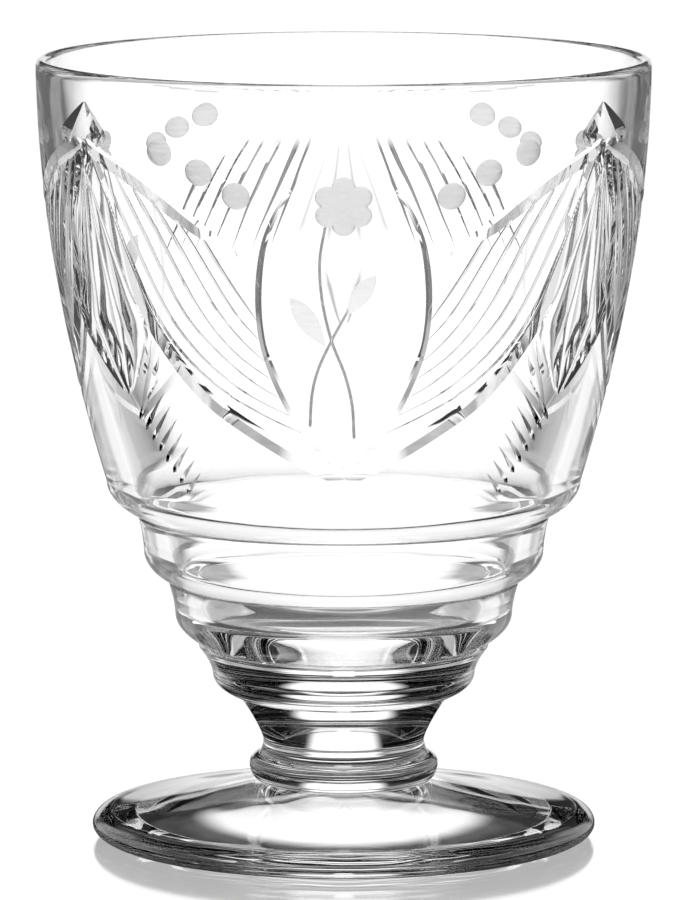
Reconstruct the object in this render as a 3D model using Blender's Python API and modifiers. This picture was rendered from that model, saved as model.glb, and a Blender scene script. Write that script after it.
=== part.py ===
"""Footed juice glass.

A flared bowl whose lower half steps in over three rounded tiers, a short waisted
stem, a bulged collar under it and a round foot with a low conical hollow beneath.
Every piece is a body of revolution about Z. The origin is on the axis, in the plane
that the foot rests on. Lengths are in metres.
"""

import math

import bpy

MM = 0.001

# ---------------------------------------------------------------- driving dimensions
HEIGHT = 96.0 * MM             # floor to lip
RIM_RADIUS = 37.5 * MM         # outside of the lip
LIP_THICKNESS = 1.5 * MM       # wall at the lip, with a full round on top
WALL_LOW = 3.2 * MM            # wall at the tiers, measured level

KNUCKLE_Z = 44.4 * MM          # where the flared wall starts to turn in
KNUCKLE_RADIUS = 29.05 * MM
FLARE_POWER = 1.88             # how the flare opens from the knuckle to the lip

# Each tier: radius at its upper shoulder, radius low on its side, height of that point.
# Each crease: radius and height of the groove that the round above runs down to.
CREASE_1 = (24.5 * MM, 39.9 * MM)
TIER_1 = (25.2 * MM, 24.5 * MM, 35.7 * MM)
CREASE_2 = (20.9 * MM, 31.7 * MM)
TIER_2 = (21.5 * MM, 20.7 * MM, 28.0 * MM)
CREASE_3 = (16.6 * MM, 23.8 * MM)
TIER_3 = (17.85 * MM, 16.1 * MM, 20.4 * MM)
CREASE_4 = (12.75 * MM, 17.45 * MM)
ROUND_SWEEP = math.radians(56.0)   # arc of the round under each tier
SIDE_POWER = 1.6                   # how the side of a tier draws in from its shoulder

CAVITY_FLOOR_Z = 24.6 * MM     # lowest point inside the bowl
CAVITY_ROUND = 4.2 * MM        # height over which the inside rounds into its floor

WAIST_RADIUS = 9.87 * MM       # thinnest section of the stem
WAIST_Z = 12.1 * MM
WAIST_POWER = 1.28             # how the stem flares from the waist up to the bowl
STEM_BASE_FLARE = 0.5 * MM     # how much it opens again below the waist
STEM_BASE_Z = 10.3 * MM

COLLAR_RADIUS = 11.57 * MM
COLLAR_Z = 9.1 * MM            # height of the collar's widest circle
COLLAR_BASE_RADIUS = 10.3 * MM
COLLAR_BASE_Z = 7.0 * MM

FOOT_RADIUS = 30.9 * MM
FOOT_WIDEST_Z = 1.65 * MM
FOOT_SHOULDER_RADIUS = 28.6 * MM
FOOT_SHOULDER_Z = 3.4 * MM
FOOT_REST_OUTER = 27.6 * MM    # flat ring that the glass stands on
FOOT_REST_INNER = 25.0 * MM
FOOT_HOLLOW = 5.6 * MM         # height of the cone under the foot, to its point
FOOT_HOLLOW_BLUNT = 0.5 * MM   # how far the cone's point is rounded off
FOOT_DISH_POWER = 1.25         # how the top of the foot falls away from the collar

JOINT_GAP = 0.3 * MM           # clearance where two pieces were fused
SEGMENTS = 48                  # facets round the axis

GLASS_COLOUR = (0.93, 0.94, 0.94, 1.0)
GLASS_ROUGHNESS = 0.02


# ---------------------------------------------------------------- profile rules
def steps(n):
    """n + 1 even fractions from 0 to 1."""
    return [i / n for i in range(n + 1)]


def wall_radius(z):
    """Outside radius of the flared wall at height z."""
    t = (HEIGHT - z) / (HEIGHT - KNUCKLE_Z)
    return RIM_RADIUS - (RIM_RADIUS - KNUCKLE_RADIUS) * max(t, 0.0) ** FLARE_POWER


def round_under(r0, z0, r1, z1, n):
    """Elliptical round from an upright side at (r0, z0) in to a crease at (r1, z1)."""
    out = []
    for t in steps(n):
        a = ROUND_SWEEP * t
        c = (1.0 - math.cos(a)) / (1.0 - math.cos(ROUND_SWEEP))
        s = math.sin(a) / math.sin(ROUND_SWEEP)
        out.append((r0 + (r1 - r0) * c, z0 + (z1 - z0) * s))
    return out


def tier(shape, top_z, crease):
    """Side of one tier from its shoulder down, then the round in to its crease."""
    shoulder, side_r, side_z = shape
    side = [(side_r + (shoulder - side_r) * (1.0 - t) ** SIDE_POWER,
             top_z + (side_z - top_z) * t) for t in steps(3)]
    return side + round_under(side_r, side_z, crease[0], crease[1], 5)[1:]


def bowl_outside():
    """Outside of the bowl from just under the lip's round down to the last crease."""
    half = LIP_THICKNESS / 2.0
    top = HEIGHT - half
    pts = [(wall_radius(z), z) for z in
           [top + (KNUCKLE_Z - top) * t for t in steps(12)]]
    pts += round_under(KNUCKLE_RADIUS, KNUCKLE_Z, CREASE_1[0], CREASE_1[1], 5)[1:]
    pts += tier(TIER_1, CREASE_1[1], CREASE_2)
    pts += tier(TIER_2, CREASE_2[1], CREASE_3)
    pts += tier(TIER_3, CREASE_3[1], CREASE_4)
    return pts


def radius_at(pts, z):
    """Radius of a downward profile at height z, by straight interpolation."""
    for (r0, z0), (r1, z1) in zip(pts, pts[1:]):
        if z1 <= z <= z0 and z0 > z1:
            return r0 + (r1 - r0) * (z0 - z) / (z0 - z1)
    return pts[0][0] if z > pts[0][1] else pts[-1][0]


def wall_thickness(z):
    """Level thickness of the bowl's wall: thin at the lip, even from the knuckle down."""
    t = min(max((HEIGHT - z) / (HEIGHT - KNUCKLE_Z), 0.0), 1.0)
    return LIP_THICKNESS + (WALL_LOW - LIP_THICKNESS) * t


def bowl_inside(outside):
    """Inside of the bowl from the middle of its floor up, in step with the outside."""
    bend_z = CAVITY_FLOOR_Z + CAVITY_ROUND
    bend_r = radius_at(outside, bend_z) - wall_thickness(bend_z)
    top = HEIGHT - LIP_THICKNESS / 2.0
    pts = [(bend_r * math.sin(a), bend_z - CAVITY_ROUND * math.cos(a))
           for a in [math.pi / 2.0 * t for t in steps(7)]]
    pts += [(r - wall_thickness(z), z) for r, z in reversed(outside)
            if bend_z + 0.3 * MM < z < top - 1.0 * MM]
    pts.append((RIM_RADIUS - LIP_THICKNESS, top))
    return pts


def lip():
    """Full round over the top of the wall, from inside to outside."""
    half = LIP_THICKNESS / 2.0
    return [(RIM_RADIUS - half - half * math.cos(a), HEIGHT - half + half * math.sin(a))
            for a in [math.pi * t for t in steps(6)[1:-1]]]


def bowl_profile():
    outside = bowl_outside()
    return bowl_inside(outside) + lip() + outside + [(0.0, CREASE_4[1])]


def stem_profile():
    top = CREASE_4[1] - JOINT_GAP
    flare = [(WAIST_RADIUS + (CREASE_4[0] - WAIST_RADIUS) * (1.0 - t) ** WAIST_POWER,
              top + (WAIST_Z - top) * t) for t in steps(8)]
    base = [(WAIST_RADIUS + STEM_BASE_FLARE * t * t,
             WAIST_Z + (STEM_BASE_Z - WAIST_Z) * t) for t in steps(4)[1:]]
    return [(0.0, top)] + flare + base + [(0.0, STEM_BASE_Z)]


def collar_profile():
    top_r = WAIST_RADIUS + STEM_BASE_FLARE
    top = STEM_BASE_Z - JOINT_GAP
    upper = [(top_r + (COLLAR_RADIUS - top_r) * math.sin(a),
              COLLAR_Z + (top - COLLAR_Z) * math.cos(a))
             for a in [math.pi / 2.0 * t for t in steps(5)]]
    lower = [(COLLAR_BASE_RADIUS + (COLLAR_RADIUS - COLLAR_BASE_RADIUS) * math.cos(a),
              COLLAR_Z + (COLLAR_BASE_Z - COLLAR_Z) * math.sin(a))
             for a in [math.pi / 2.0 * t for t in steps(6)[1:]]]
    return [(0.0, top)] + upper + lower + [(0.0, COLLAR_BASE_Z)]


def foot_profile():
    top = COLLAR_BASE_Z - JOINT_GAP
    dish = [(COLLAR_BASE_RADIUS + (FOOT_SHOULDER_RADIUS - COLLAR_BASE_RADIUS) * t,
             FOOT_SHOULDER_Z + (top - FOOT_SHOULDER_Z) * (1.0 - t) ** FOOT_DISH_POWER)
            for t in steps(8)]
    shoulder = [(FOOT_SHOULDER_RADIUS + (FOOT_RADIUS - FOOT_SHOULDER_RADIUS) * math.sin(a),
                 FOOT_WIDEST_Z + (FOOT_SHOULDER_Z - FOOT_WIDEST_Z) * math.cos(a))
                for a in [math.pi / 2.0 * t for t in steps(5)[1:]]]
    under = [(FOOT_REST_OUTER + (FOOT_RADIUS - FOOT_REST_OUTER) * math.cos(a),
              FOOT_WIDEST_Z * (1.0 - math.sin(a)))
             for a in [math.pi / 2.0 * t for t in steps(5)[1:]]]
    hollow = [(FOOT_REST_INNER * (1.0 - t), FOOT_HOLLOW * t - FOOT_HOLLOW_BLUNT * t ** 8)
              for t in steps(10)]
    return [(0.0, top)] + dish + shoulder + under + hollow


# ---------------------------------------------------------------- building
def clear_scene():
    for obj in list(bpy.data.objects):
        bpy.data.objects.remove(obj, do_unlink=True)


def glass_material(name):
    mat = bpy.data.materials.new(name)
    mat.use_nodes = True
    bsdf = mat.node_tree.nodes["Principled BSDF"]
    bsdf.inputs["Base Color"].default_value = GLASS_COLOUR
    bsdf.inputs["Roughness"].default_value = GLASS_ROUGHNESS
    bsdf.inputs["Metallic"].default_value = 0.0
    bsdf.inputs["IOR"].default_value = 1.52
    bsdf.inputs["Transmission Weight"].default_value = 1.0
    return mat


def turned(name, profile, collection, parent):
    """One body of revolution from a profile that ends on the axis at both ends."""
    mesh = bpy.data.meshes.new(name)
    mesh.from_pydata([(r, 0.0, z) for r, z in profile],
                     [(i, i + 1) for i in range(len(profile) - 1)], [])
    mesh.update()
    obj = bpy.data.objects.new(name, mesh)
    collection.objects.link(obj)
    obj.parent = parent
    screw = obj.modifiers.new("turn", 'SCREW')
    screw.axis = 'Z'
    screw.angle = 2.0 * math.pi
    screw.steps = SEGMENTS
    screw.render_steps = SEGMENTS
    screw.use_merge_vertices = True
    screw.merge_threshold = 0.00001
    screw.use_smooth_shade = True
    mesh.materials.append(glass_material(name + "_glass"))
    return obj


def main():
    clear_scene()
    collection = bpy.data.collections.new("juice_glass")
    bpy.context.scene.collection.children.link(collection)
    axis = bpy.data.objects.new("axis", None)
    collection.objects.link(axis)
    turned("bowl", bowl_profile(), collection, axis)
    turned("stem", stem_profile(), collection, axis)
    turned("collar", collar_profile(), collection, axis)
    turned("foot", foot_profile(), collection, axis)


main()
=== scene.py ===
"""Footed juice glass: clear blown glass with a wheel-cut fan-and-swag ornament and a
frosted flower in each of its three panels, standing on a pale glossy floor.
"""
import math

import bpy
import numpy as np
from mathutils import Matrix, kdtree
from mathutils.geometry import delaunay_2d_cdt


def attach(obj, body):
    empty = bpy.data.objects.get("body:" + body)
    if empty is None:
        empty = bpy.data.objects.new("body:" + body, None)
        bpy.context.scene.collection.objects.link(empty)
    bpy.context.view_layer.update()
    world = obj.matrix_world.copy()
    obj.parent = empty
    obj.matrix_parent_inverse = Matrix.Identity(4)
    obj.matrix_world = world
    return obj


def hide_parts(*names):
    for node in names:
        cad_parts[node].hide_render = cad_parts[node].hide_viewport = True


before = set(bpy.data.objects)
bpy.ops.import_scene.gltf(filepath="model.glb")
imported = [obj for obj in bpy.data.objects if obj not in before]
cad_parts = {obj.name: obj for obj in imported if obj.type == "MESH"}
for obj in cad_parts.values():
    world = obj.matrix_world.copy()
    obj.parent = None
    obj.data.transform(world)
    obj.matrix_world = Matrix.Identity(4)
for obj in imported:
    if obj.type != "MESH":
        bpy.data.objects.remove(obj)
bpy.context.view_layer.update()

MM = 0.001
COLUMNS = 64                 # columns of faces in each of the three panels
ROWS = 160                   # rows of faces along the edges between panels
HEIGHT = 96.0
RIM = 37.5
LIP = 1.5
WALL_LOW = 3.2
KNUCKLE = (29.05, 44.4)
FLARE = 1.88
WALL_TOP, WALL_BOTTOM = 94.4, 44.9   # the stretch of wall that carries the cuts


# ------------------------------------------------------------------ turned profiles (mm)
def lin(n):
    return [i / n for i in range(n + 1)]


def wall_r(z):
    t = np.clip((HEIGHT - np.asarray(z, float)) / (HEIGHT - KNUCKLE[1]), 0.0, None)
    return RIM - (RIM - KNUCKLE[0]) * t ** FLARE


def wall_slope(z):
    """dr/dz of the flared wall."""
    t = np.clip((HEIGHT - np.asarray(z, float)) / (HEIGHT - KNUCKLE[1]), 1e-9, None)
    return (RIM - KNUCKLE[0]) * FLARE * t ** (FLARE - 1.0) / (HEIGHT - KNUCKLE[1])


def under(r0, z0, r1, z1, sweep=math.radians(56.0), n=30):
    out = []
    for t in lin(n):
        a = sweep * t
        c = (1.0 - math.cos(a)) / (1.0 - math.cos(sweep))
        s = math.sin(a) / math.sin(sweep)
        out.append((r0 + (r1 - r0) * c, z0 + (z1 - z0) * s))
    return out


def tier(shoulder, side_r, side_z, top_z, crease):
    side = [(side_r + (shoulder - side_r) * (1.0 - t) ** 1.6, top_z + (side_z - top_z) * t)
            for t in lin(14)]
    return side + under(side_r, side_z, crease[0], crease[1])[1:]


CREASE = [(24.5, 39.9), (20.9, 31.7), (16.6, 23.8), (12.75, 17.45)]


def bowl_lower():
    """Outside of the bowl from the foot of the cut wall to the last crease."""
    pts = [(float(wall_r(z)), z) for z in np.linspace(WALL_BOTTOM, KNUCKLE[1], 6)]
    pts += under(KNUCKLE[0], KNUCKLE[1], *CREASE[0])[1:]
    pts += tier(25.2, 24.5, 35.7, CREASE[0][1], CREASE[1])
    pts += tier(21.5, 20.7, 28.0, CREASE[1][1], CREASE[2])
    pts += tier(17.85, 16.1, 20.4, CREASE[2][1], CREASE[3])
    return pts


def resample(pts, step):
    p = np.array(pts, float)
    d = np.hypot(*np.diff(p, axis=0).T)
    keep = np.concatenate([[True], d > 1e-9])
    p = p[keep]
    s = np.concatenate([[0.0], np.cumsum(np.hypot(*np.diff(p, axis=0).T))])
    n = max(int(round(s[-1] / step)), 2)
    q = np.linspace(0.0, s[-1], n + 1)
    return np.stack([np.interp(q, s, p[:, 0]), np.interp(q, s, p[:, 1])], 1)


def soften(pts, sigma, step=0.05):
    """Rounds the corners of a profile over about sigma mm, with its ends kept."""
    p = resample(pts, step)
    k = int(math.ceil(3.5 * sigma / step))
    w = np.exp(-0.5 * (np.arange(-k, k + 1) * step / sigma) ** 2)
    w /= w.sum()
    out = p.copy()
    for c in (0, 1):
        ext = np.concatenate([2 * p[0, c] - p[k:0:-1, c], p[:, c], 2 * p[-1, c] - p[-2:-k - 2:-1, c]])
        out[:, c] = np.convolve(ext, w, "valid")
    out[0], out[-1] = p[0], p[-1]
    return out


def thin_out(p, turn=4.0, longest=1.4):
    """Keeps the points that a smooth profile needs, with the normal at each one."""
    t = np.gradient(p, axis=0)
    ang = np.unwrap(np.arctan2(t[:, 1], t[:, 0]))
    seg = np.concatenate([[0.0], np.cumsum(np.hypot(*np.diff(p, axis=0).T))])
    keep, last = [0], 0
    for i in range(1, len(p) - 1):
        if abs(ang[i] - ang[last]) > math.radians(turn) or seg[i] - seg[last] > longest:
            keep.append(i)
            last = i
    keep.append(len(p) - 1)
    nrm = np.stack([-t[:, 1], t[:, 0]], 1)
    nrm /= np.linalg.norm(nrm, axis=1)[:, None]
    return p[keep], nrm[keep]


LOWER_DENSE = soften(bowl_lower(), 0.14)


def outer_r(z):
    """Outside radius of the bowl at any height."""
    z = np.asarray(z, float)
    low = np.interp(z, LOWER_DENSE[::-1, 1], LOWER_DENSE[::-1, 0])
    return np.where(z > WALL_BOTTOM, wall_r(z), low)


CAVITY_SOFT = 0.5
FLOOR_Z, FLOOR_BEND = 24.6, 4.2      # bottom of the cavity and the height over which it rounds up


def cavity_r(z):
    """Inside radius: the blown wall follows every step of the outside."""
    t = LIP + (WALL_LOW - LIP) * min(max((HEIGHT - z) / (HEIGHT - KNUCKLE[1]), 0.0), 1.0)
    return float(outer_r(z)) - t


def bowl_inner():
    """Inside of the bowl from the middle of its floor up to the lip."""
    r0 = cavity_r(FLOOR_Z + FLOOR_BEND)
    pts = [(r0 * math.sin(math.pi / 2 * t), FLOOR_Z + FLOOR_BEND * (1.0 - math.cos(math.pi / 2 * t))) for t in lin(40)]
    top = HEIGHT - LIP / 2
    pts += [(cavity_r(z), z) for z in np.linspace(FLOOR_Z + FLOOR_BEND, top - 2.5, 400)[1:]]
    pts += [(RIM - LIP, top)]
    return pts


def lip_round():
    h = LIP / 2
    pts = [(RIM - h - h * math.cos(math.pi * t), HEIGHT - h + h * math.sin(math.pi * t)) for t in lin(24)]
    pts += [(float(wall_r(z)), z) for z in np.linspace(HEIGHT - h, WALL_TOP, 5)[1:]]
    return pts


# ------------------------------------------------------------------ where the panels lie
def panel_edge(z):
    """Half the angle, in degrees, of the panel that faces the front."""
    z = np.asarray(z, float)
    return np.where(z > 87.7, 57.0 - 0.35 * (z - 87.7), 57.0 - 0.175 * (87.7 - z))


def angle_of(panel, a, z):
    """Angle round the axis, in radians, of the panel's own angle a (-60 to 60)."""
    e = panel_edge(z)
    if panel == 0:
        deg = a * e / 60.0
    else:
        deg = (e + 180.0) / 2.0 + a * (180.0 - e) / 120.0
        if panel == 2:
            deg = deg - 2.0 * (e + 180.0) / 2.0
    return np.radians(deg)


def ring_angles(z):
    a = np.linspace(-60.0, 60.0, COLUMNS + 1)[:-1]
    return np.concatenate([angle_of(p, a, z) for p in (0, 1, 2)])


def place(r, phi, z):
    """Angle 0 faces the camera on -Y, and grows towards +X."""
    return np.stack([r * np.sin(phi), -r * np.cos(phi), z], -1)


# ------------------------------------------------------------------ cuts in one panel
K = math.radians(1.0) * 34.0      # one degree of the panel, in mm of wall
APEX_Z = 87.7


class Groove:
    """A mitre cut along a curve: half-width w and depth d at each point."""

    def __init__(self, pts, w, d, frost=0, step=0.55):
        p = np.array(pts, float)
        if len(p) > 2:
            p = spline(p)
        s = np.concatenate([[0.0], np.cumsum(np.hypot(*np.diff(p, axis=0).T))])
        n = max(int(round(s[-1] / step)), 4)
        q = np.linspace(0.0, s[-1], n + 1)
        self.p = np.stack([np.interp(q, s, p[:, 0]), np.interp(q, s, p[:, 1])], 1)
        t = q / s[-1]
        self.w = np.maximum(w(t), 0.012)
        self.d = np.maximum(d(t), 0.0)
        self.frost = frost

    def lines(self):
        t = np.gradient(self.p, axis=0)
        t /= np.linalg.norm(t, axis=1)[:, None]
        nrm = np.stack([-t[:, 1], t[:, 0]], 1)
        a, b = self.p + nrm * self.w[:, None], self.p - nrm * self.w[:, None]
        out = [self.p, a, b]
        for i, sign in ((0, -1.0), (-1, 1.0)):
            if self.w[i] > 0.15:      # a blunt end is closed by a half circle
                ang = np.linspace(0.0, math.pi, 7)
                c = self.p[i] + self.w[i] * (np.cos(ang)[:, None] * nrm[i] + sign * np.sin(ang)[:, None] * t[i])
                out.append(c)
        return out

    def depth(self, x):
        """Depth at the points x, and which side of the curve they lie on."""
        lo, hi = self.p.min(0) - self.w.max(), self.p.max(0) + self.w.max()
        inside = np.all((x >= lo) & (x <= hi), axis=1)
        dep, side = np.zeros(len(x)), np.zeros(len(x), int)
        idx = np.nonzero(inside)[0]
        if not len(idx):
            return dep, side
        y = x[idx]
        best = np.full(len(y), 1e9)
        out, sd = np.zeros(len(y)), np.zeros(len(y), int)
        for i in range(len(self.p) - 1):
            a, ab = self.p[i], self.p[i + 1] - self.p[i]
            t = np.clip(((y - a) @ ab) / (ab @ ab), 0.0, 1.0)
            off = y - (a + t[:, None] * ab)
            dist = np.hypot(off[:, 0], off[:, 1])
            near = dist < best
            best[near] = dist[near]
            w = self.w[i] + (self.w[i + 1] - self.w[i]) * t
            d = self.d[i] + (self.d[i + 1] - self.d[i]) * t
            out[near] = (d * np.clip(1.0 - dist / w, 0.0, None))[near]
            sd[near] = np.where(ab[0] * off[:, 1] - ab[1] * off[:, 0] > 0, 1, -1)[near]
        dep[idx], side[idx] = out, sd
        return dep, side


class Flute(Groove):
    """A hollow-ground flute: round in section, with sharp ridges at its sides."""

    def lines(self):
        t = np.gradient(self.p, axis=0)
        t /= np.linalg.norm(t, axis=1)[:, None]
        nrm = np.stack([-t[:, 1], t[:, 0]], 1)
        out = [self.p + nrm * self.w[:, None], self.p - nrm * self.w[:, None]]
        wide = np.nonzero(self.w > 0.35)[0]
        if len(wide) > 2:
            i0, i1 = wide[0], wide[-1] + 1
            out += [(self.p + nrm * self.w[:, None] * k)[i0:i1] for k in (-0.66, -0.33, 0.0, 0.33, 0.66)]
        return out

    def depth(self, x):
        dep, side = Groove.depth(self, x)
        # the mitre's depth is d (1 - s), and the flute's is d (1 - s s)
        peak = self.peak(x)
        frac = np.clip(1.0 - dep / np.maximum(peak, 1e-9), 0.0, 1.0)
        return np.where(dep > 0, peak * (1.0 - frac ** 2), 0.0), np.zeros(len(x), int)

    def peak(self, x):
        order = np.argsort(self.p[:, 1])
        return np.interp(x[:, 1], self.p[order, 1], self.d[order])


class Dish:
    """A shallow round or leaf-shaped ground patch."""

    def __init__(self, centre, half_u, half_v, depth, turn=0.0, leaf=False, frost=1):
        self.frost = frost
        self.c = np.array(centre, float)
        self.hu, self.hv, self.dep0, self.turn, self.leaf = half_u, half_v, depth, turn, leaf

    def local(self, x):
        c, s = math.cos(self.turn), math.sin(self.turn)
        q = x - self.c
        return np.stack([(q[:, 0] * c + q[:, 1] * s) / self.hu, (-q[:, 0] * s + q[:, 1] * c) / self.hv], 1)

    def rho(self, x):
        q = self.local(x)
        if self.leaf:
            span = np.clip(1.0 - q[:, 0] ** 2, 1e-6, None) * (1.0 - 0.25 * q[:, 0])
            return np.where(np.abs(q[:, 0]) < 1.0, np.abs(q[:, 1]) / span, 9.0)
        return np.hypot(q[:, 0], q[:, 1])

    def lines(self):
        n = 30
        ang = np.linspace(0.0, 2 * math.pi, n + 1)
        if self.leaf:
            u = np.cos(ang)
            v = np.sign(np.sin(ang)) * np.clip(1.0 - u ** 2, 0, None) * (1.0 - 0.25 * u)
        else:
            u, v = np.cos(ang), np.sin(ang)
        out = []
        for k in (1.0, 0.86):
            p = np.stack([u * self.hu * k, v * self.hv * k], 1)
            c, s = math.cos(self.turn), math.sin(self.turn)
            q = self.c + np.stack([p[:, 0] * c - p[:, 1] * s, p[:, 0] * s + p[:, 1] * c], 1)
            q[-1] = q[0]
            out.append(q)
        return out

    def depth(self, x):
        rho = self.rho(x)
        wall = np.clip((1.0 - rho) / 0.14, 0.0, 1.0)
        return np.where(rho < 1.0, self.dep0 * (0.55 * wall + 0.45 * np.clip(1.0 - rho ** 2, 0, 1)), 0.0), np.zeros(len(x), int)


def spline(p, n=12):
    """Smooth curve through points (centripetal in chord length)."""
    s = np.concatenate([[0.0], np.cumsum(np.sqrt(np.hypot(*np.diff(p, axis=0).T)))])
    m = np.gradient(p, s, axis=0)
    out = []
    for i in range(len(p) - 1):
        h = s[i + 1] - s[i]
        for t in np.linspace(0.0, 1.0, n, endpoint=False):
            a, b = 2 * t ** 3 - 3 * t ** 2 + 1, t ** 3 - 2 * t ** 2 + t
            c, d = -2 * t ** 3 + 3 * t ** 2, t ** 3 - t ** 2
            out.append(a * p[i] + b * h * m[i] + c * p[i + 1] + d * h * m[i + 1])
    out.append(p[-1])
    return np.array(out)


def uv(pts):
    return [(a * K, z) for a, z in pts]


def flip(pts, about=0.0):
    return [(2 * about - a, z) for a, z in pts]


SWAG = [(60, 87.7), (56.4, 82.7), (53.3, 77.5), (50.2, 72.3), (48.4, 69.3), (45.4, 65.8), (42.1, 63.1),
        (38.5, 60.5), (32.9, 57.6), (25.3, 55.0), (16.5, 52.4), (8.0, 50.2), (0, 48.6)]
UPPER = [(60, 87.7), (47.4, 84.6), (42.3, 83.0), (35.9, 80.6), (29.1, 78.1), (21.0, 75.0)]
VESICA = [(10.5, 83.4), (13.4, 80.8), (16.3, 77.0), (18.2, 71.5), (18.5, 66.8), (17.6, 63.4), (13.0, 57.4),
          (6.0, 52.4), (0, 48.6)]
WING = [
    [(57.0, 86.2), (51.5, 78.0), (44.6, 68.0), (38.7, 63.3), (30.0, 59.3), (20.0, 56.4), (8.8, 53.9)],
    [(54.6, 85.9), (48.6, 78.0), (40.7, 68.0), (34.3, 63.4), (25.0, 59.4), (11.0, 55.8)],
    [(50.6, 84.9), (44.4, 78.0), (36.2, 68.0), (29.6, 63.9), (21.0, 60.2), (13.2, 57.9)],
    [(46.2, 83.7), (40.6, 78.0), (31.8, 68.2), (25.4, 64.0), (15.0, 60.0)],
    [(41.6, 82.2), (37.0, 78.0), (27.6, 68.4), (22.4, 65.0), (16.6, 62.2)],
    [(36.0, 80.0), (32.4, 76.8), (23.6, 68.4), (17.8, 64.8)],
    [(30.0, 77.8), (25.6, 73.4), (18.4, 67.2)],
]
FEATHERS = 8


def blunt(t, w, tip=0.35):
    """Half-width of a wedge-shaped cut: fine at its start, widest near its end."""
    return w * np.minimum(np.clip(t / 0.75, 0, 1) ** 0.9, np.clip((1.0 - t) / 0.12, 0, 1) * (1 - tip) + tip * (t < 0.9999))


def taper(t, w, a=0.08, b=0.25, floor=0.0):
    return w * np.maximum(np.minimum(np.clip(t / a, 0, 1), np.clip((1.0 - t) / b, 0, 1)) ** 0.7, floor)


def swag_at(z):
    s = np.array(SWAG)[::-1]
    return np.interp(z, s[:, 1], s[:, 0])


KITE_SIDE_Z, KITE_TIP_Z = 66.0, 57.2


def kite_half(z):
    """Half-angle of the fluted fan under an apex."""
    z = np.asarray(z, float)
    top = 60.0 - swag_at(z) - 2.2 * np.clip((APEX_Z - z) / 4.0, 0, 1)
    side = 60.0 - swag_at(KITE_SIDE_Z) - 2.2
    return np.where(z > KITE_SIDE_Z, np.clip(top, 0, None), side * np.clip((z - KITE_TIP_Z) / (KITE_SIDE_Z - KITE_TIP_Z), 0, 1) ** 0.8)


def half_panel(front):
    """Cuts between the middle of a panel and the fan on its right."""
    out = []
    out.append(Groove(uv(SWAG), lambda t: 1.12 - 0.12 * t - 0.75 * np.clip(1 - t / 0.05, 0, 1),
                      lambda t: (0.52 + (0.14 if front else -0.12) * np.clip((t - 0.08) / 0.1, 0, 1)) * (1.0 - 0.5 * np.clip((t - 0.4) / 0.45, 0, 1)) * np.clip(0.25 + t / 0.05, 0, 1)))
    out.append(Groove(uv(UPPER), lambda t: 1.0 * np.minimum(1.0, 0.35 + t / 0.06) * np.clip(1.25 - 0.9 * np.clip((t - 0.62) / 0.38, 0, 1), 0, 1),
                      lambda t: (0.5 + (0.12 if front else -0.14) * np.clip((t - 0.13) / 0.1, 0, 1)) * np.minimum(1.0, 0.3 + t / 0.05) * np.clip(1.0 - np.clip((t - 0.58) / 0.42, 0, 1) ** 0.6, 0.0, 1)))
    out.append(Groove(uv(VESICA), lambda t: 0.26 + 0.16 * np.clip(t / 0.3, 0, 1) + 0.45 * np.clip((t - 0.5) / 0.3, 0, 1),
                      lambda t: (0.10 + 0.16 * np.clip(t / 0.25, 0, 1) - 0.14 * np.clip((t - 0.5) / 0.3, 0, 1)) * (1.0 if front else 0.25)))
    for i, line in enumerate(WING):
        if not front:
            line = [q for q in line if q[1] > 66.0]
        w0 = 0.36 - 0.015 * i
        out.append(Groove(uv(line), lambda t, w0=w0: taper(t, w0, 0.10, 0.75, 0.12) * (1 - 0.25 * t), lambda t, w0=w0: (0.74 if front else 0.62) * taper(t, w0, 0.10, 0.75, 0.10) * (1 - 0.3 * t)))
    # long flutes of the fan: one down its middle and one on each side
    zz = np.linspace(APEX_Z - 0.6, KITE_TIP_Z + 0.25, 40)
    half = kite_half(zz)
    for f in (0.0, 2.0 / 3.0):
        pts = np.stack([60.0 - half * f, zz], 1)
        hw = np.maximum(half * K / 3.0, 0.02)
        q = np.concatenate([[0], np.cumsum(np.hypot(np.diff(pts[:, 0]) * K, np.diff(zz)))])
        q /= q[-1]
        out.append(Flute(uv(pts), lambda t, q=q, hw=hw: np.interp(t, q, hw), lambda t, q=q, hw=hw: np.minimum(0.30 * np.interp(t, q, hw), 0.52)))
    # fringe of short wedge cuts
    for k in range(FEATHERS if front else 0):
        t = k / (FEATHERS - 1)
        a0, z0 = 47.6 - 6.8 * t, 60.0 - 11.4 * t
        a1, z1 = 58.6 - 11.0 * t, 54.4 - 8.6 * t
        out.append(Groove(uv([(a0, z0), (a1, z1)]), lambda t: blunt(t, 0.36), lambda t: 0.7 * blunt(t, 0.36), step=0.4))
    for (a0, z0, a1, z1, w) in ((49.6, 66.6, 55.6, 59.6, 0.5), (47.4, 64.6, 52.4, 60.2, 0.45), (46.0, 62.8, 49.4, 60.2, 0.4)) if front else ():
        out.append(Groove(uv([(a0, z0), ((a0 + a1) / 2 - 0.4, (z0 + z1) / 2), (a1, z1)]), lambda t, w=w: blunt(t, w), lambda t, w=w: 0.6 * blunt(t, w), step=0.4))
    # spear above the apex: one leaning leg on each side
    out.append(Groove(uv([(59.7, 92.5), (57.2, 90.6), (54.4, 88.5)]), lambda t: 0.10 + 1.25 * t ** 0.9, lambda t: 0.05 + 0.62 * t ** 0.9))
    return out


def mirrored(g, about):
    m = type(g).__new__(type(g))
    m.p = g.p.copy()
    m.p[:, 0] = 2 * about * K - m.p[:, 0]
    m.w, m.d, m.frost = g.w, g.d, g.frost
    return m


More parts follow.
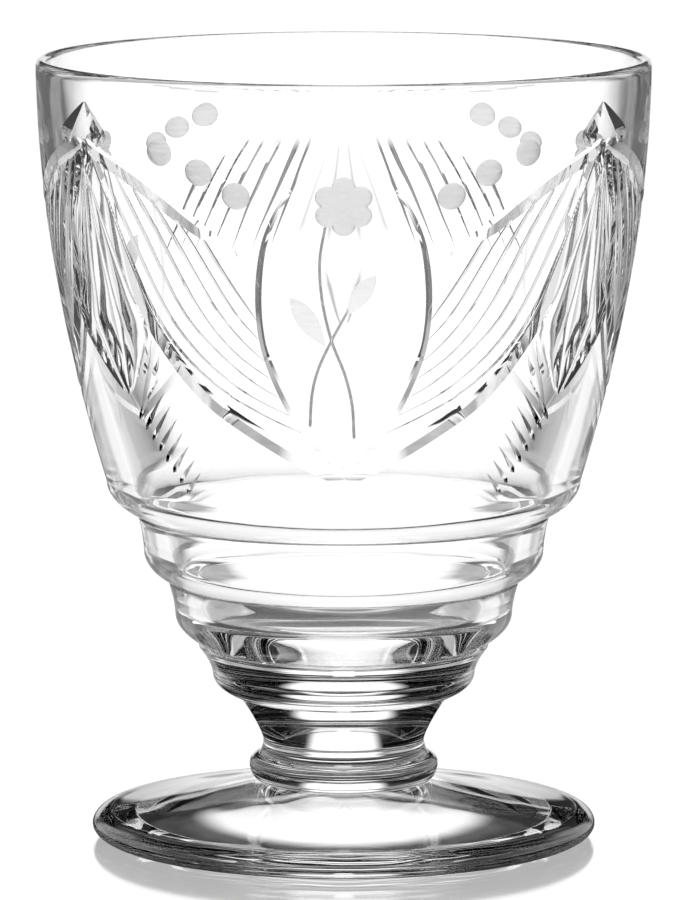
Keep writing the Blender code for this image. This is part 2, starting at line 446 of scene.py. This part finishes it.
def panel_cuts(panel):
    """Every cut of a panel; the fringe and the lower dots belong to the front one."""
    right = half_panel(panel == 0)
    left = [mirrored(g, 0.0) for g in right]
    # no spear stands over the fan at the back
    right, left = right[:-1] if panel == 1 else right, left[:-1] if panel == 2 else left
    # and the cuts of that fan run out softly towards its apex
    for g in (right if panel == 1 else left if panel == 2 else ()):
        g.d = g.d * (1.0 - 0.85 * np.clip((g.p[:, 1] - 80.0) / 5.0, 0, 1))
    cuts = right + left
    # what the neighbouring panels cut across the edges
    for side, edge in ((right, 60.0), (left, -60.0)):
        for g in side:
            if np.abs(g.p[:, 0]).max() + g.w.max() > 60.0 * K - 0.05:
                cuts.append(mirrored(g, edge))
    # ground dots
    for s in (1, -1):
        dots = ((37.7, 87.4), (29.1, 85.3), (21.5, 82.7))
        if panel == (1 if s > 0 else 2):
            dots = ((31.4, 84.6), (24.8, 83.4), (19.2, 81.8))
        for a, z in dots:
            cuts.append(Dish((s * a * K, z), 1.74, 1.6 if panel == 0 else 1.35, 0.16, frost=3))
    # six-petalled flower
    for k in range(6):
        ang = math.radians(90 + 60 * k)
        cuts.append(Dish((2.2 * math.cos(ang), 81.7 + 2.15 * math.sin(ang)), 1.42, 1.36, 0.17))
    cuts.append(Dish((0.0, 81.7), 1.5, 1.45, 0.13))
    # two crossing stems and two leaves
    cuts.append(Groove(uv([(-3.7, 79.2), (-4.9, 75.2), (-4.6, 70.6), (-2.7, 65.6), (0.3, 61.4), (2.0, 57.8), (2.6, 53.8)]),
                       lambda t: 0.17 + 0.05 * t, lambda t: 0.11 + 0 * t, 3))
    cuts.append(Groove(uv([(1.0, 69.3), (-2.7, 65.6), (-5.9, 62.0), (-7.5, 59.0), (-8.3, 55.2)]),
                       lambda t: 0.17 + 0.05 * t, lambda t: 0.11 + 0 * t, 3))
    for (a0, z0), (a1, z1), hv in (((-11.4, 70.8), (-4.0, 64.9), 1.3), ((6.7, 73.5), (0.4, 68.6), 1.15)):
        u0, u1 = a0 * K, a1 * K
        c = ((u0 + u1) / 2, (z0 + z1) / 2)
        cuts.append(Dish(c, math.hypot(u1 - u0, z1 - z0) / 2, hv, 0.05, math.atan2(z1 - z0, u1 - u0), True, 4))
    return cuts


def panel_mesh(panel):
    """Triangles of one panel in (u, z), with depth, facet and finish for each."""
    cuts = panel_cuts(panel)
    U = 60.0 * K
    verts, edges = [], []

    def add(p):
        i0 = len(verts)
        verts.extend((float(x), float(y)) for x, y in p)
        edges.extend((i, i + 1) for i in range(i0, len(verts) - 1))

    # outline: equal columns top and bottom, equal rows on both edges
    us = np.linspace(-U, U, COLUMNS + 1)
    zs = np.linspace(WALL_BOTTOM, WALL_TOP, ROWS + 1)
    loop = [(u, WALL_BOTTOM) for u in us] + [(U, z) for z in zs[1:]] + [(u, WALL_TOP) for u in us[::-1][1:]] + [(-U, z) for z in zs[::-1][1:-1]]
    verts.extend((float(x), float(y)) for x, y in loop)
    face = list(range(len(loop)))
    lines = []
    for g in cuts:
        for ln in g.lines():
            # keep the part that is inside the panel, ended just short of its edges
            limit, run = U - 0.03, []
            for i, q in enumerate(ln):
                inside = abs(q[0]) < limit and WALL_BOTTOM + 0.05 < q[1] < WALL_TOP - 0.05
                if i and (abs(ln[i - 1][0]) < limit) != (abs(q[0]) < limit):
                    o = ln[i - 1]
                    edge = math.copysign(limit, q[0])
                    run.append(o + (q - o) * (edge - o[0]) / (q[0] - o[0]))
                if inside:
                    run.append(q)
                else:
                    if len(run) > 1:
                        lines.append(np.array(run))
                    run = []
            if len(run) > 1:
                lines.append(np.array(run))
    for ln in lines:
        add(ln)
    tree = kdtree.KDTree(len(verts))
    for i, (x, y) in enumerate(verts):
        tree.insert((x, y, 0.0), i)
    tree.balance()
    step = 1.05
    row = 0
    z = WALL_BOTTOM + step * 0.8
    while z < WALL_TOP - 0.5 * step:
        u = -U + step * (0.75 if row % 2 else 0.25) + 0.3
        while u < U - 0.45 * step:
            _, _, d = tree.find((u, z, 0.0))
            if d > 0.5:
                verts.append((u, z))
            u += step
        z += step * 0.87
        row += 1
    co, ed, fa, _, _, _ = delaunay_2d_cdt(verts, edges, [face], 1, 1e-5)
    p = np.array([(c[0], c[1]) for c in co])
    tri = np.array([f for f in fa if len(f) == 3])
    # anticlockwise in (u, z)
    e1, e2 = p[tri[:, 1]] - p[tri[:, 0]], p[tri[:, 2]] - p[tri[:, 0]]
    area = e1[:, 0] * e2[:, 1] - e1[:, 1] * e2[:, 0]
    tri[area < 0] = tri[area < 0][:, ::-1]
    tri = tri[np.abs(area) > 1e-9]
    mid = p[tri].mean(1)
    dep, best = np.zeros(len(p)), np.zeros(len(mid))
    facet = np.zeros(len(mid), int)
    frost = np.zeros(len(mid), int)
    for n, g in enumerate(cuts):
        d, _ = g.depth(p)
        dep = np.maximum(dep, d)
        d, side = g.depth(mid)
        win = (d > best + 1e-7)
        best[win] = d[win]
        facet[win] = 3 * (n + 1) + side[win]
        if g.frost:
            frost[d > 1e-4] = g.frost
    return p, tri, dep, facet, frost


# ------------------------------------------------------------------ mesh building
class Builder:
    """Collects turned bands and panels into one mesh with its own normals."""

    def __init__(self):
        self.v, self.f, self.mat, self.n, self.fid = [], [], [], [], []

    def points(self, xyz):
        i0 = len(self.v)
        self.v.extend(map(tuple, xyz))
        return np.arange(i0, i0 + len(xyz))

    def quad(self, idx, nrm, mat):
        self.f.append(tuple(int(i) for i in idx))
        self.n.append(nrm)
        self.mat.append(mat)

    def band(self, prof, nrm, phis, mat=0, first=None, last=None):
        """Turns a profile; nrm points out of the glass. Returns its first and last rings."""
        rings = []
        for i, (r, z) in enumerate(prof):
            if i == 0 and first is not None:
                rings.append(first)
            elif i == len(prof) - 1 and last is not None:
                rings.append(last)
            elif r < 1e-6:
                rings.append(self.points([(0.0, 0.0, z)]))
            else:
                rings.append(self.points(place(np.full(len(phis), r), phis, np.full(len(phis), z))))
        m = len(phis)

        def normal(i, k):
            return (nrm[i][0] * math.sin(phis[k]), -nrm[i][0] * math.cos(phis[k]), nrm[i][1])

        for i in range(len(prof) - 1):
            a, b = rings[i], rings[i + 1]
            for k in range(m):
                j = (k + 1) % m
                if len(a) == 1 and len(b) == 1:
                    continue
                if len(a) == 1:
                    idx, no = (a[0], b[k], b[j]), (normal(i, k), normal(i + 1, k), normal(i + 1, j))
                elif len(b) == 1:
                    idx, no = (a[k], b[0], a[j]), (normal(i, k), normal(i + 1, k), normal(i, j))
                else:
                    idx, no = (a[k], b[k], b[j], a[j]), (normal(i, k), normal(i + 1, k), normal(i + 1, j), normal(i, j))
                self.quad(idx, no, mat)
        return rings[0], rings[-1]

    def object(self, name, materials):
        me = bpy.data.meshes.new(name)
        v = np.array(self.v, float) * MM
        used = np.unique(np.concatenate([np.array(f) for f in self.f]))
        new = np.full(len(v), -1)
        new[used] = np.arange(len(used))
        me.from_pydata(v[used].tolist(), [], [tuple(int(new[i]) for i in f) for f in self.f])
        for m in materials:
            me.materials.append(m)
        me.polygons.foreach_set("material_index", np.array(self.mat, dtype=np.int32))
        me.polygons.foreach_set("use_smooth", np.ones(len(self.f), dtype=bool))
        me.update()
        flat = [c for no in self.n for c in no]
        me.normals_split_custom_set(flat)
        ob = bpy.data.objects.new(name, me)
        bpy.context.scene.collection.objects.link(ob)
        return ob


def outward(nrm, flipit):
    return [(-a, -b) for a, b in nrm] if flipit else [(a, b) for a, b in nrm]


def make_bowl(materials):
    b = Builder()
    top, bottom = ring_angles(WALL_TOP), ring_angles(WALL_BOTTOM)
    # inside, from the middle of the floor up, then over the lip
    inner, n_in = thin_out(soften(bowl_inner(), CAVITY_SOFT), 3.5, 1.6)
    n_in = outward(n_in, False)
    inner[0, 0] = 0.0
    n_in[0] = (0.0, 1.0)
    lipp, n_lip = thin_out(resample(lip_round(), 0.02), 12.0, 0.6)
    n_lip = outward(n_lip, False)
    _, ring_in = b.band(inner, n_in, top)
    _, ring_top = b.band(lipp, n_lip, top, first=ring_in)
    # outside below the cut wall
    low, n_low = thin_out(LOWER_DENSE, 4.0, 1.4)
    ring_low, ring_end = b.band(low, outward(n_low, False), bottom)
    # cut wall
    U = 60.0 * K
    seam = {}
    all_tri, all_fid, all_frost = [], [], []
    for panel in (0, 1, 2):
        p, tri, dep, facet, frost = panel_mesh(panel)
        slope = wall_slope(p[:, 1])
        nr, nz = 1.0 / np.sqrt(1 + slope ** 2), -slope / np.sqrt(1 + slope ** 2)
        phi = angle_of(panel, p[:, 0] / K, p[:, 1])
        r = wall_r(p[:, 1]) - dep * nr
        z = p[:, 1] - dep * nz
        xyz = place(r, phi, z)
        idx = np.zeros(len(p), int)
        on_edge = (np.abs(np.abs(p[:, 0]) - U) < 1e-4)
        on_top, on_bot = np.abs(p[:, 1] - WALL_TOP) < 1e-3, np.abs(p[:, 1] - WALL_BOTTOM) < 1e-3
        for i in range(len(p)):
            if on_top[i] or on_bot[i]:
                col = int(round((p[i, 0] + U) / (2 * U) * COLUMNS)) + panel * COLUMNS
                ring = ring_top if on_top[i] else ring_low
                idx[i] = ring[col % (3 * COLUMNS)]
            elif on_edge[i]:
                row = int(round((p[i, 1] - WALL_BOTTOM) / (WALL_TOP - WALL_BOTTOM) * ROWS))
                k = (panel if p[i, 0] > 0 else (panel - 1) % 3, row)
                hit = seam.get(k)
                if hit is None:
                    hit = seam[k] = len(b.v)
                    b.v.append(tuple(xyz[i]))
                idx[i] = hit
            else:
                idx[i] = len(b.v)
                b.v.append(tuple(xyz[i]))
        all_tri.append(idx[tri])
        all_fid.append(facet + np.where(facet > 0, panel * 5000, 0))
        all_frost.append(frost)
    tris = np.concatenate(all_tri)
    fid, fro = np.concatenate(all_fid), np.concatenate(all_frost)
    # corner normals: smooth within a facet, true to the turned shape where nothing is cut
    vv = np.array(b.v, float)
    fn = np.cross(vv[tris[:, 1]] - vv[tris[:, 0]], vv[tris[:, 2]] - vv[tris[:, 0]])
    order = fid.astype(np.int64)[:, None] * (len(vv) + 1) + tris
    uniq, inv = np.unique(order.ravel(), return_inverse=True)
    summed = np.zeros((len(uniq), 3))
    np.add.at(summed, inv, np.repeat(fn, 3, axis=0))
    corner = summed[inv]
    corner /= np.maximum(np.linalg.norm(corner, axis=1)[:, None], 1e-12)
    corner = corner.reshape(-1, 3, 3)
    plain = fid == 0
    pv = vv[tris[plain]]
    rad = np.hypot(pv[..., 0], pv[..., 1])
    sl = wall_slope(pv[..., 2])
    q = 1.0 / np.sqrt(1 + sl ** 2)
    corner[plain] = np.stack([pv[..., 0] / rad * q, pv[..., 1] / rad * q, -sl * q], -1)
    for t, no, fr in zip(tris, corner, fro):
        if len(set(t)) == 3:
            b.quad(t, [tuple(x) for x in no], int(fr))
    # joint face under the last tier
    cap_r, cap_z = CREASE[3]
    b.band([(cap_r, cap_z), (0.0, cap_z)], [(0, -1), (0, -1)], bottom, mat=2, first=ring_end)
    return b.object("glass_bowl", materials)


def make_turned(name, top_z, outline, bottom, materials, soft=0.12, turn=4.0, longest=1.2):
    """A solid turned piece: joint face on top, outline down its side, then its underside."""
    b = Builder()
    phis = np.linspace(-math.pi, math.pi, 193)[:-1]
    dense = soften(outline, soft)
    prof, nrm = thin_out(dense, turn, longest)
    ring_a, ring_b = b.band(prof, outward(nrm, False), phis)
    b.band([(0.0, top_z), tuple(prof[0])], [(0, 1), (0, 1)], phis, mat=1, last=ring_a)
    if bottom is None:
        z = prof[-1][1]
        b.band([tuple(prof[-1]), (0.0, z)], [(0, -1), (0, -1)], phis, mat=1, first=ring_b)
    return b.object(name, materials)


# ------------------------------------------------------------------ outlines of the solid pieces
WAIST_R, WAIST_Z, STEM_BASE_Z = 9.87, 12.1, 10.3
COLLAR_R, COLLAR_Z, COLLAR_BASE_R, COLLAR_BASE_Z = 11.57, 9.1, 10.3, 7.0


def stem_outline():
    top_r, top_z = CREASE[3]
    pts = [(WAIST_R + (top_r - WAIST_R) * (1 - t) ** 1.28, top_z + (WAIST_Z - top_z) * t) for t in lin(40)]
    pts += [(WAIST_R + 0.5 * t * t, WAIST_Z + (STEM_BASE_Z - WAIST_Z) * t) for t in lin(16)[1:]]
    return pts


def collar_outline():
    top_r = WAIST_R + 0.5
    pts = [(top_r + (COLLAR_R - top_r) * math.sin(math.pi / 2 * t), COLLAR_Z + (STEM_BASE_Z - COLLAR_Z) * math.cos(math.pi / 2 * t)) for t in lin(24)]
    pts += [(COLLAR_BASE_R + (COLLAR_R - COLLAR_BASE_R) * math.cos(math.pi / 2 * t), COLLAR_Z + (COLLAR_BASE_Z - COLLAR_Z) * math.sin(math.pi / 2 * t)) for t in lin(24)[1:]]
    return pts


FOOT_R, FOOT_WIDE_Z, SHOULDER_R, SHOULDER_Z, REST_OUT, REST_IN, HOLLOW = 30.9, 1.65, 28.6, 3.4, 27.6, 25.0, 5.6


def foot_outline():
    pts = [(COLLAR_BASE_R + (SHOULDER_R - COLLAR_BASE_R) * t, SHOULDER_Z + (COLLAR_BASE_Z - SHOULDER_Z) * (1 - t) ** 1.25) for t in lin(50)]
    pts += [(SHOULDER_R + (FOOT_R - SHOULDER_R) * math.sin(math.pi / 2 * t), FOOT_WIDE_Z + (SHOULDER_Z - FOOT_WIDE_Z) * math.cos(math.pi / 2 * t)) for t in lin(30)[1:]]
    pts += [(REST_OUT + (FOOT_R - REST_OUT) * math.cos(math.pi / 2 * t), FOOT_WIDE_Z * (1 - math.sin(math.pi / 2 * t))) for t in lin(30)[1:]]
    pts += [(REST_IN * (1 - t), HOLLOW * t - 0.5 * t ** 8) for t in lin(60)]
    return pts


# ------------------------------------------------------------------ materials
def new_material(name):
    m = bpy.data.materials.new(name)
    m.use_nodes = True
    nt = m.node_tree
    nt.nodes.clear()
    out = nt.nodes.new("ShaderNodeOutputMaterial")
    return m, nt, out


def glass_material(name, waviness=0.02):
    """Clear soda glass with the faint waviness of blown and fire-polished work."""
    m, nt, out = new_material(name)
    p = nt.nodes.new("ShaderNodeBsdfPrincipled")
    p.inputs["Base Color"].default_value = (1.0, 1.0, 1.0, 1.0)
    p.inputs["Roughness"].default_value = 0.0
    p.inputs["IOR"].default_value = 1.51
    p.inputs["Transmission Weight"].default_value = 1.0
    tc = nt.nodes.new("ShaderNodeTexCoord")
    noise = nt.nodes.new("ShaderNodeTexNoise")
    noise.inputs["Scale"].default_value = 110.0
    noise.inputs["Detail"].default_value = 1.0
    bump = nt.nodes.new("ShaderNodeBump")
    bump.inputs["Strength"].default_value = waviness
    bump.inputs["Distance"].default_value = 0.002
    nt.links.new(tc.outputs["Object"], noise.inputs["Vector"])
    nt.links.new(noise.outputs["Fac"], bump.inputs["Height"])
    nt.links.new(bump.outputs["Normal"], p.inputs["Normal"])
    nt.links.new(p.outputs["BSDF"], out.inputs["Surface"])
    return m


def frost_material(name, shade_tone):
    """Stone-ground glass: rough, with the fine scratches of the wheel. Its grey base colour is painted shade, which
    darkens the ground patch.
    """
    m, nt, out = new_material(name)
    p = nt.nodes.new("ShaderNodeBsdfPrincipled")
    # painted shade: a grey base colour darkens the clear ground glass
    p.inputs["Base Color"].default_value = (shade_tone, shade_tone, shade_tone, 1.0)
    p.inputs["IOR"].default_value = 1.51
    p.inputs["Transmission Weight"].default_value = 1.0
    tc = nt.nodes.new("ShaderNodeTexCoord")
    mp = nt.nodes.new("ShaderNodeMapping")
    mp.inputs["Scale"].default_value = (300.0, 300.0, 2600.0)
    noise = nt.nodes.new("ShaderNodeTexNoise")
    noise.inputs["Scale"].default_value = 1.0
    noise.inputs["Detail"].default_value = 2.0
    rough = nt.nodes.new("ShaderNodeMapRange")
    rough.inputs["From Min"].default_value = 0.3
    rough.inputs["From Max"].default_value = 0.7
    rough.inputs["To Min"].default_value = 0.32
    rough.inputs["To Max"].default_value = 0.55
    bump = nt.nodes.new("ShaderNodeBump")
    bump.inputs["Strength"].default_value = 0.35
    bump.inputs["Distance"].default_value = 0.0003
    nt.links.new(tc.outputs["Object"], mp.inputs["Vector"])
    nt.links.new(mp.outputs["Vector"], noise.inputs["Vector"])
    nt.links.new(noise.outputs["Fac"], rough.inputs["Value"])
    nt.links.new(rough.outputs["Result"], p.inputs["Roughness"])
    nt.links.new(noise.outputs["Fac"], bump.inputs["Height"])
    nt.links.new(bump.outputs["Normal"], p.inputs["Normal"])
    nt.links.new(p.outputs["BSDF"], out.inputs["Surface"])
    return m


def fused_material(name):
    """Where two gathers run together there is no surface to see."""
    m, nt, out = new_material(name)
    t = nt.nodes.new("ShaderNodeBsdfTransparent")
    nt.links.new(t.outputs["BSDF"], out.inputs["Surface"])
    return m


# ------------------------------------------------------------------ stage
class Calc:
    """Writes shader arithmetic as plain sums: every value is a socket of a node tree."""

    def __init__(self, nt):
        self.nt = nt

    def op(self, kind, *args):
        n = self.nt.nodes.new("ShaderNodeMath")
        n.operation = kind
        for i, v in enumerate(args):
            if isinstance(v, (int, float)):
                n.inputs[i].default_value = v
            else:
                self.nt.links.new(v, n.inputs[i])
        return n.outputs[0]

    def add(self, a, b):
        return self.op("ADD", a, b)

    def mul(self, a, b):
        return self.op("MULTIPLY", a, b)

    def ramp(self, v, x0, x1, y0, y1):
        """Smooth step from y0 at x0 to y1 at x1."""
        n = self.nt.nodes.new("ShaderNodeMapRange")
        n.interpolation_type = "SMOOTHSTEP"
        self.nt.links.new(v, n.inputs["Value"])
        for name, k in (("From Min", x0), ("From Max", x1), ("To Min", y0), ("To Max", y1)):
            n.inputs[name].default_value = k
        return n.outputs["Result"]

    def sector(self, x, y, heading, half, soft):
        """1 within half degrees of a compass heading (0 is +Y, 90 is +X), 0 outside it."""
        h = math.radians(heading)
        along = self.add(self.mul(x, math.sin(h)), self.mul(y, math.cos(h)))
        across = self.add(self.mul(x, math.cos(h)), self.mul(y, -math.sin(h)))
        off = self.op("ABSOLUTE", self.op("ARCTAN2", across, along))
        return self.ramp(off, math.radians(half - soft), math.radians(half + soft), 1.0, 0.0)


def make_floor():
    """Pale lacquered table top."""
    me = bpy.data.meshes.new("floor")
    s = 12.0
    z = -0.00004
    me.from_pydata([(-s, -s, z), (s, -s, z), (s, s, z), (-s, s, z)], [], [(0, 1, 2, 3)])
    ob = bpy.data.objects.new("floor", me)
    bpy.context.scene.collection.objects.link(ob)
    m, nt, out = new_material("floor_white")
    c = Calc(nt)
    matt = nt.nodes.new("ShaderNodeBsdfDiffuse")
    matt.inputs["Color"].default_value = (1.0, 1.0, 1.0, 1.0)
    lacquer = nt.nodes.new("ShaderNodeBsdfGlossy")
    lacquer.inputs["Color"].default_value = (1.0, 1.0, 1.0, 1.0)
    lacquer.inputs["Roughness"].default_value = 0.1
    fres = nt.nodes.new("ShaderNodeFresnel")
    fres.inputs["IOR"].default_value = 2.2
    mix = nt.nodes.new("ShaderNodeMixShader")
    nt.links.new(c.op("MINIMUM", c.mul(fres.outputs["Fac"], 1.5), 1.0), mix.inputs["Fac"])
    nt.links.new(matt.outputs["BSDF"], mix.inputs[1])
    nt.links.new(lacquer.outputs["BSDF"], mix.inputs[2])
    nt.links.new(mix.outputs["Shader"], out.inputs["Surface"])
    me.materials.append(m)
    ob.visible_glossy = ob.visible_transmission = ob.visible_shadow = False
    return ob


def make_card():
    """Lit card just under the floor: what the glass bends its light from."""
    me = bpy.data.meshes.new("light_card")
    s = 12.0
    z = -0.0002
    me.from_pydata([(-s, -s, z), (s, -s, z), (s, s, z), (-s, s, z)], [], [(0, 1, 2, 3)])
    ob = bpy.data.objects.new("light_card", me)
    bpy.context.scene.collection.objects.link(ob)
    m, nt, out = new_material("light_card")
    c = Calc(nt)
    tc = nt.nodes.new("ShaderNodeTexCoord")
    sep = nt.nodes.new("ShaderNodeSeparateXYZ")
    nt.links.new(tc.outputs["Object"], sep.inputs["Vector"])
    x, y = sep.outputs["X"], sep.outputs["Y"]
    r = c.op("SQRT", c.add(c.mul(x, x), c.mul(y, y)))
    lane = c.sector(x, y, 0.0, CARD_HALF, 4.0)
    lane = c.mul(lane, c.ramp(r, 0.050, 0.056, 0.0, BRIGHT))
    for heading, half, start, stop, level in SIDE_CARDS:
        more = c.mul(c.sector(x, y, heading, half, 6.0), c.ramp(r, start, start * 1.3, 0.0, level))
        lane = c.op("MAXIMUM", lane, c.mul(more, c.ramp(r, stop, stop * 1.4, 1.0, 0.0)))
    near = c.mul(c.ramp(r, 0.070, 0.090, 0.0, NEAR), c.ramp(r, 0.17, 0.26, 1.0, 0.3))
    lane = c.op("MAXIMUM", lane, near)
    u, v = c.mul(x, 1.0 / 0.0182), c.mul(c.add(y, -0.002), 1.0 / 0.0245)
    oval = c.op("SQRT", c.add(c.mul(u, u), c.mul(v, v)))
    under = c.mul(c.ramp(oval, 0.80, 1.06, UNDER_FOOT, 0.05), c.ramp(y, 0.002, 0.016, 1.0, 0.65))
    under = c.mul(under, c.ramp(r, 0.030, 0.034, 1.0, 0.0))
    e = nt.nodes.new("ShaderNodeEmission")
    nt.links.new(c.add(lane, under), e.inputs["Strength"])
    nt.links.new(e.outputs[0], out.inputs["Surface"])
    me.materials.append(m)
    ob.visible_camera = ob.visible_diffuse = ob.visible_shadow = False


CARD_HALF, UNDER_FOOT, NEAR, BRIGHT = 14.0, 1.35, 0.45, 1.2
WINDOW_HALF = 18.0
# heading, half-width in degrees, where it starts and stops in metres, brightness
SIDE_CARDS = ((-53.0, 18.0, 0.050, 0.26, 1.0), (-38.0, 22.0, 0.050, 0.26, 0.5), (53.0, 18.0, 0.050, 0.26, 1.0),
              (38.0, 22.0, 0.050, 0.26, 0.5), (135.0, 26.0, 0.050, 0.45, 1.0), (-90.0, 18.0, 0.35, 30.0, 1.1),
              (180.0, 115.0, 0.080, 30.0, 0.8))
SIDE_WINDOWS = ((-90.0, 18.0, 1.1), (180.0, 105.0, 0.8))      # heading, half-width, brightness


def make_world():
    w = bpy.data.worlds.new("studio")
    bpy.context.scene.world = w
    w.use_nodes = True
    nt = w.node_tree
    nt.nodes.clear()
    L = nt.links.new
    c = Calc(nt)
    out = nt.nodes.new("ShaderNodeOutputWorld")
    tc = nt.nodes.new("ShaderNodeTexCoord")
    sep = nt.nodes.new("ShaderNodeSeparateXYZ")
    L(tc.outputs["Generated"], sep.inputs["Vector"])
    x, y, z = sep.outputs["X"], sep.outputs["Y"], sep.outputs["Z"]
    win = c.sector(x, y, 0.0, WINDOW_HALF, 4.0)
    win = c.mul(win, c.ramp(z, 0.70, 0.80, BRIGHT, 0.0))
    gap = c.op("MAXIMUM", c.sector(x, y, 0.0, 2.9, 0.25), c.ramp(z, 0.115, 0.155, 1.0, 0.0))
    gap = c.op("MAXIMUM", gap, c.ramp(z, 0.36, 0.42, 0.0, 0.25))
    lp = nt.nodes.new("ShaderNodeLightPath")
    first = c.op("LESS_THAN", lp.outputs["Ray Depth"], 2.5)
    shallow = c.op("MAXIMUM", first, c.op("COMPARE", lp.outputs["Ray Depth"], 4.0, 0.5))
    win = c.mul(win, c.op("MAXIMUM", gap, c.op("SUBTRACT", 1.0, shallow)))
    side = c.mul(c.op("SUBTRACT", 1.0, c.sector(x, y, 0.0, 24.0, 4.0)), c.ramp(z, 0.45, 0.60, 1.0, 0.0))
    win = c.add(win, c.mul(first, side))
    for heading, half, level in SIDE_WINDOWS:
        win = c.op("MAXIMUM", win, c.mul(c.sector(x, y, heading, half, 4.0), c.ramp(z, 0.12, 0.20, level, 0.0)))
    plain = c.op("MAXIMUM", lp.outputs["Is Camera Ray"], lp.outputs["Is Diffuse Ray"])
    plain = c.op("MAXIMUM", plain, c.mul(first, c.op("SUBTRACT", 1.0, lp.outputs["Is Singular Ray"])))
    seen = nt.nodes.new("ShaderNodeBackground")
    seen.inputs["Color"].default_value = (1, 1, 1, 1)
    seen.inputs["Strength"].default_value = 1.06
    lit = nt.nodes.new("ShaderNodeBackground")
    lit.inputs["Color"].default_value = (1, 1, 1, 1)
    L(win, lit.inputs["Strength"])
    mix = nt.nodes.new("ShaderNodeMixShader")
    L(plain, mix.inputs["Fac"])
    L(lit.outputs[0], mix.inputs[1])
    L(seen.outputs[0], mix.inputs[2])
    L(mix.outputs[0], out.inputs["Surface"])


def make_camera():
    c = bpy.data.cameras.new("camera")
    c.sensor_fit = 'VERTICAL'
    c.sensor_height = 36.0
    c.lens = 7476.39 * 36.0 / 900.0
    c.shift_x = -2.7 / 900.0
    ob = bpy.data.objects.new("camera", c)
    ob.location = (0.0, -0.905556, 0.176022)
    ob.rotation_euler = (math.radians(90.0 - 8.059), 0.0, 0.0)
    bpy.context.scene.collection.objects.link(ob)
    bpy.context.scene.camera = ob


def main():
    sc = bpy.context.scene
    sc.view_settings.view_transform = 'Standard'
    sc.cycles.max_bounces = 40
    sc.cycles.transmission_bounces = 40
    sc.cycles.glossy_bounces = 16
    sc.cycles.transparent_max_bounces = 32
    sc.cycles.diffuse_bounces = 3
    sc.cycles.use_denoising = True
    make_camera()
    make_floor()
    make_card()
    make_world()
    # painted shade: three grey tones of one ground finish, darkest on the dots and stems, lighter on the flower,
    # lightest on the leaves
    flower, dots, leaf = frost_material("ground_flower", 0.56), frost_material("ground_dots", 0.48), frost_material("ground_leaf", 0.73)
    fused = fused_material("fused_joint")
    pieces = {
        "bowl": make_bowl([glass_material("bowl_clear"), flower, fused, dots, leaf]),
        "stem": make_turned("glass_stem", CREASE[3][1], stem_outline(), None, [glass_material("stem_clear"), fused]),
        "collar": make_turned("glass_collar", STEM_BASE_Z, collar_outline(), None, [glass_material("collar_clear"), fused]),
        "foot": make_turned("glass_foot", COLLAR_BASE_Z, foot_outline(), "hollow", [glass_material("foot_clear", 0.05), fused]),
    }
    for node, ob in pieces.items():
        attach(ob, "root")
        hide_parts(node)
        ob.visible_shadow = False
        ob.visible_diffuse = False
        print("PIECE", node, len(ob.data.vertices), "verts", sum(len(p.vertices) - 2 for p in ob.data.polygons), "triangles")


main()
